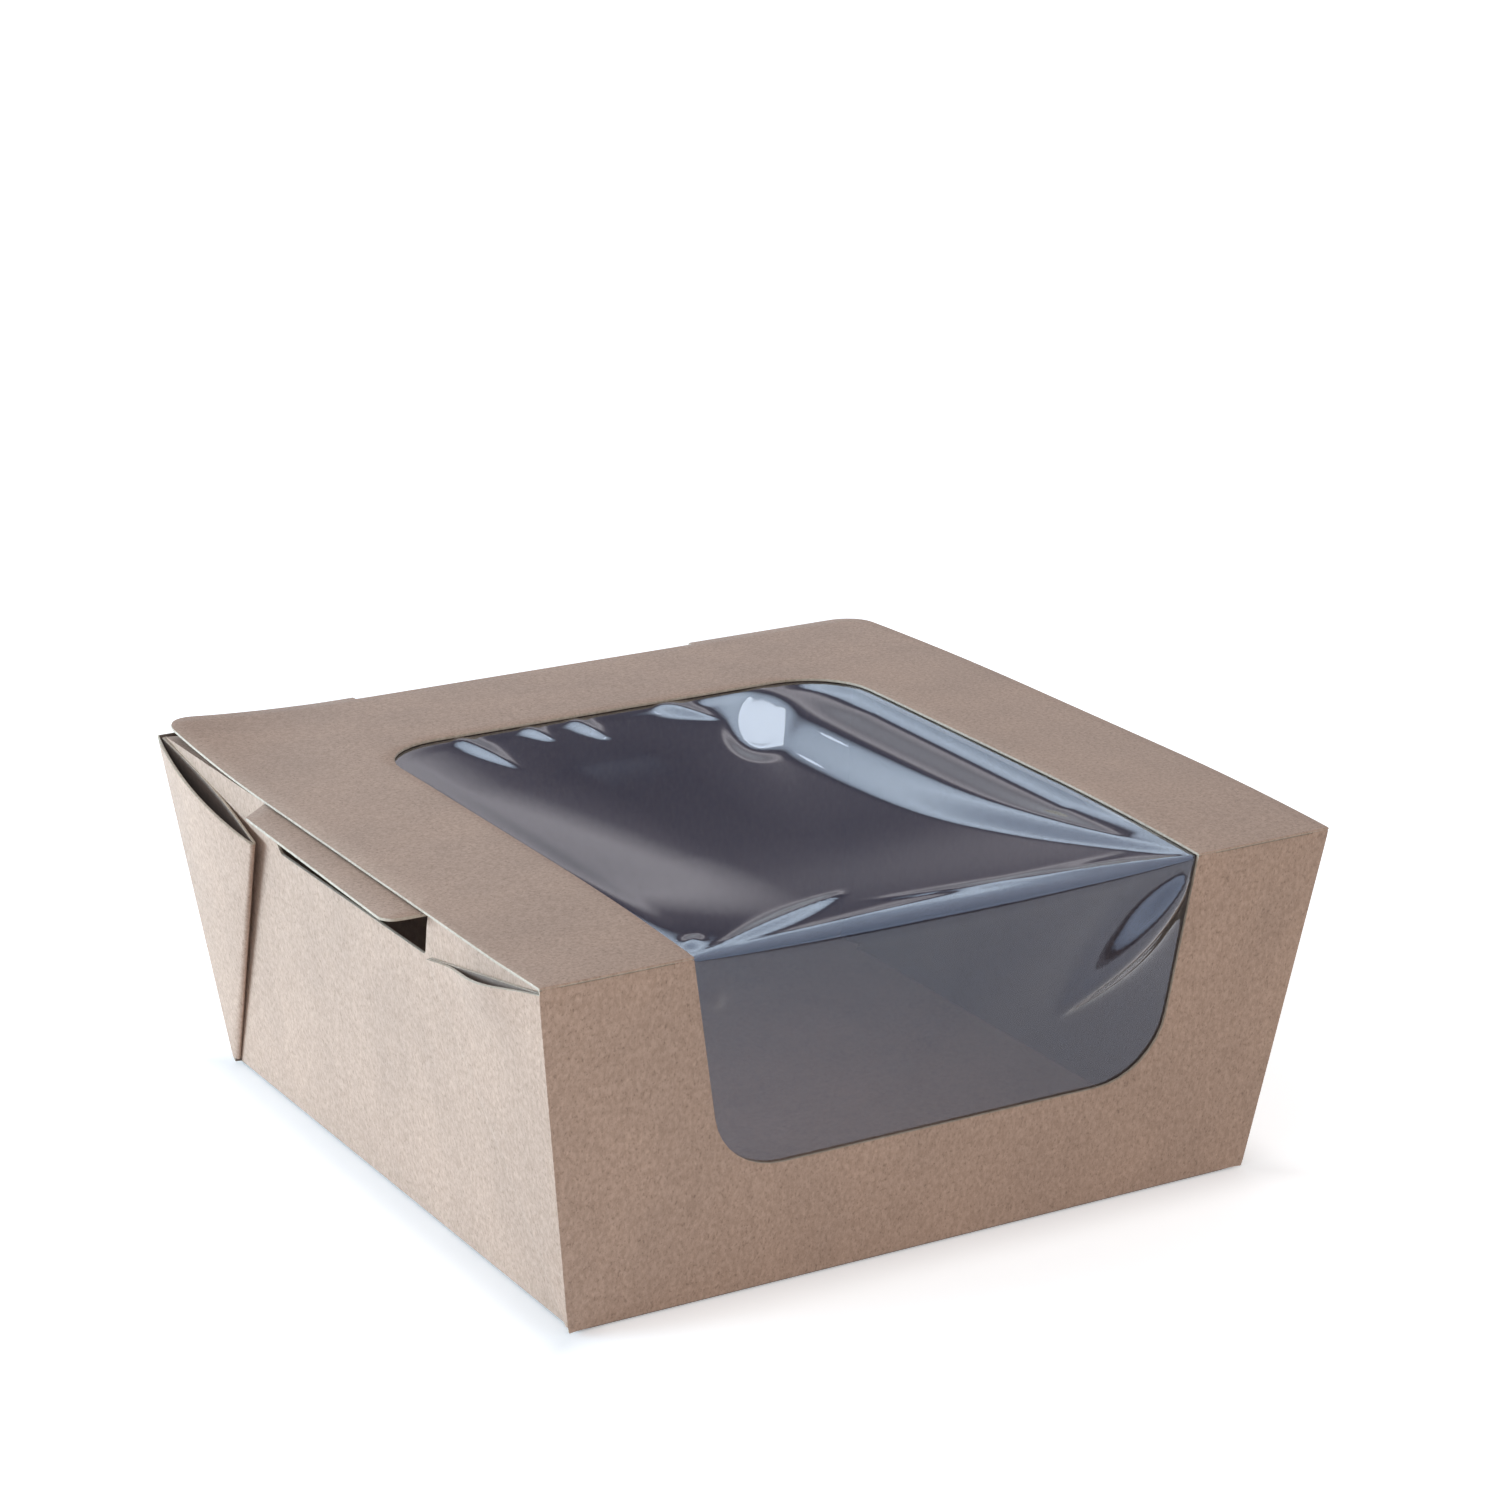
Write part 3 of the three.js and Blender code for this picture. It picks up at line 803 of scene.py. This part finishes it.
floor_ray = floor_tree.nodes.new("ShaderNodeLightPath")
seen = worked_out(
    floor_tree, "MAXIMUM", floor_ray.outputs["Is Camera Ray"], floor_ray.outputs["Is Glossy Ray"])
floor_spot = floor_tree.nodes.new("ShaderNodeTexCoord")
floor_axes = add_node(floor_tree, "ShaderNodeSeparateXYZ", {"Vector": floor_spot.outputs["Object"]})
farther = worked_out(floor_tree, "MAXIMUM", *(
    worked_out(floor_tree, "ABSOLUTE", floor_axes.outputs[axis]) for axis in ("X", "Y")))
# The glow at the foot, lower still at the left foot, paints a soft shadow round the box
foot_glow = add_node(floor_tree, "ShaderNodeMapRange", {
    "Value": floor_axes.outputs["X"], "From Min": left_painted_shadow_to, "From Max": left_painted_shadow_from,
    "To Min": glow_at_left_foot, "To Max": glow_at_foot})
floor_glow = add_node(floor_tree, "ShaderNodeMapRange", {
    "Value": farther, "From Min": painted_shadow_from, "From Max": painted_shadow_to,
    "To Min": foot_glow.outputs["Result"], "To Max": glow_away}, interpolation_type="SMOOTHSTEP")
white_share = worked_out(floor_tree, "MULTIPLY", seen, floor_glow.outputs["Result"])
floor_tree.links.new(white_share, paint.inputs["Emission Strength"])
floor_data.materials.append(floor_paint)
floor = bpy.data.objects.new("studio_floor", floor_data)
bpy.context.collection.objects.link(floor)
floor.location.z = -0.0001

world = bpy.data.worlds.new("studio")
bpy.context.scene.world = world
world.use_nodes = True
sky_tree = world.node_tree
sky_way = sky_tree.nodes.new("ShaderNodeTexCoord")
sky_axes = add_node(sky_tree, "ShaderNodeSeparateXYZ", {"Vector": sky_way.outputs["Generated"]})
sky_colour = colour_ramp(
    sky_tree, sky_axes.outputs["Z"], [(0.0, (0.80, 0.78, 0.765)), (1.0, (0.40, 0.35, 0.315))])
sky_light = sky_tree.nodes["Background"]
sky_tree.links.new(sky_colour, sky_light.inputs["Color"])

# What the film mirrors is a room: grey below with a pale strip, then a dark band, and a bright
# cool window from there up, all of it lower towards the front
room_tilt, room_shift, room_strength = -0.14, 0.116, 2.3
room_offset = worked_out(sky_tree, "MULTIPLY_ADD", sky_axes.outputs["Y"], room_tilt, room_shift)
room_height = worked_out(sky_tree, "ADD", sky_axes.outputs["Z"], room_offset)
room_colour = colour_ramp(sky_tree, room_height, [
    (0.08, (0.20, 0.21, 0.23)), (0.20, (0.155, 0.155, 0.175)), (0.278, (0.290, 0.280, 0.300)),
    (0.315, (0.090, 0.088, 0.112)), (0.365, (0.055, 0.056, 0.080)), (0.41, (0.42, 0.50, 0.60)),
    (0.50, (0.70, 0.82, 0.94)), (0.68, (0.50, 0.60, 0.72)), (1.0, (0.66, 0.75, 0.86)),
])
room_light = add_node(sky_tree, "ShaderNodeBackground", {"Color": room_colour, "Strength": room_strength})
sky_ray = sky_tree.nodes.new("ShaderNodeLightPath")
direct = worked_out(sky_tree, "ADD", sky_ray.outputs["Is Camera Ray"], sky_ray.outputs["Diffuse Depth"])
mirrored = worked_out(sky_tree, "SUBTRACT", 1.0, direct, clamped=True)
sky_or_room = add_node(sky_tree, "ShaderNodeMixShader", {
    0: mirrored, 1: sky_light.outputs["Background"], 2: room_light.outputs["Background"]})
sky_tree.links.new(sky_or_room.outputs["Shader"], sky_tree.nodes["World Output"].inputs["Surface"])

bpy.context.scene.view_settings.view_transform = "Standard"


def lamp(name, place, aim, power, colour, **sizes):
    data = bpy.data.lights.new(name, "AREA")
    data.energy = power
    data.color = colour
    for size, value in sizes.items():
        setattr(data, size, value)
    lamp_object = bpy.data.objects.new(name, data)
    bpy.context.collection.objects.link(lamp_object)
    lamp_object.location = place
    lamp_object.rotation_euler = (Vector(aim) - Vector(place)).to_track_quat("-Z", "Y").to_euler()
    return lamp_object


box_middle = (0, 0, 0.03)
left_window = lamp("left_window", (-0.78, 0.42, 0.14), box_middle, 14.0, (0.56, 0.80, 1.0),
                   shape="RECTANGLE", size=0.7, size_y=0.24)
front_fill = lamp("front_fill", (-0.3, -1.3, 0.3), box_middle, 2.0, (1.0, 0.98, 0.96),
                  shape="RECTANGLE", size=0.9, size_y=0.5)
for soft_lamp in (left_window, front_fill):
    soft_lamp.visible_glossy = False
    soft_lamp.visible_transmission = False

# The round lamp stands where the film's flat place mirrors it to the camera
lamp_away, near = 1.2, 0.001
glint_point = film_place(glint.x, glint.y)
glint_across = film_place(glint.x + near, glint.y) - film_place(glint.x - near, glint.y)
glint_along = film_place(glint.x, glint.y + near) - film_place(glint.x, glint.y - near)
glint_normal = glint_across.cross(glint_along).normalized()
from_camera = (glint_point - seat).normalized()
to_lamp = from_camera - 2 * from_camera.dot(glint_normal) * glint_normal
round_lamp = lamp("round_lamp", glint_point + to_lamp * lamp_away, glint_point, 0.0026,
                  (0.88, 0.94, 1.0), shape="DISK", size=0.021)
round_lamp.visible_diffuse = False
round_lamp.visible_transmission = False
